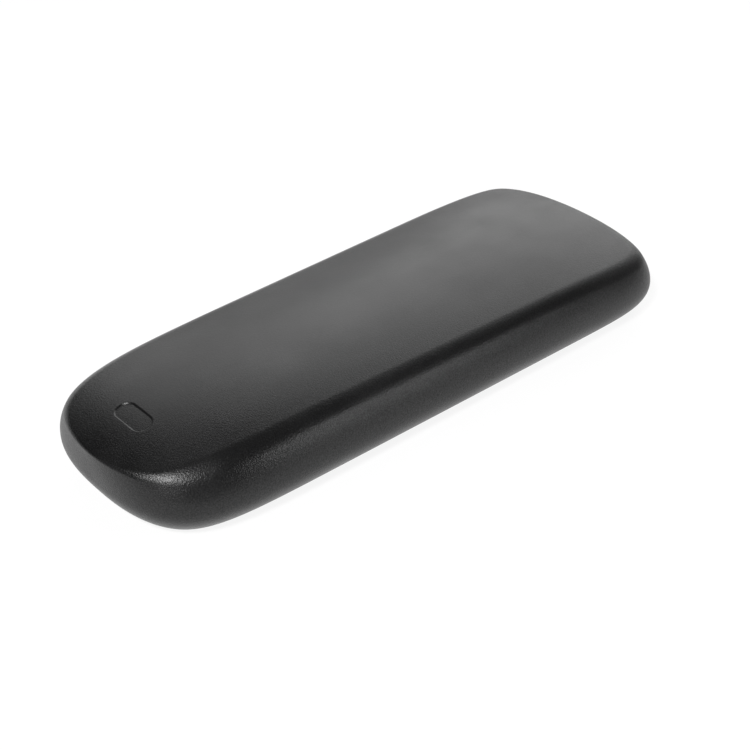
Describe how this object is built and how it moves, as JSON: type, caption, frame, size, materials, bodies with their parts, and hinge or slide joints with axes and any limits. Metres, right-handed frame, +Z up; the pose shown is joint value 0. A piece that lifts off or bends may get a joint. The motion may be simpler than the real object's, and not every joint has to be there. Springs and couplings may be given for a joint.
{
  "type": "chair armrest pad",
  "caption": "Long soft armrest pad with a crowned top, a drooping rounded nose and tucked-in sides, on a ribbed base plate with threaded inserts for bolting to a chair arm.",
  "frame": {"origin": "centre of the base, on the plane that the pad stands on and is bolted to", "axes": "+Z up through the crown, +Y along the pad from the rounded nose to the squarer tail, +X to the pad's right"},
  "size_m": [0.1058, 0.265, 0.0337],
  "materials": {
    "moulded_skin": "satin",
    "foam": "matte",
    "carrier_plastic": "matte",
    "plated_steel": "satin",
    "screw_steel": "satin",
    "insert_brass": "satin",
    "cap_plastic": "matte"
  },
  "bodies": {
    "root": {"pad_skin": "moulded_skin", "foam_core": "foam", "carrier_plate": "carrier_plastic", "stiffener_plate": "plated_steel", "stiffener_screws": "screw_steel", "insert_front_left": "insert_brass", "insert_front_right": "insert_brass", "insert_rear_left": "insert_brass", "insert_rear_right": "insert_brass", "insert_cap_front_left": "cap_plastic", "insert_cap_front_right": "cap_plastic", "insert_cap_rear_left": "cap_plastic", "insert_cap_rear_right": "cap_plastic"}
  },
  "joints": []
}
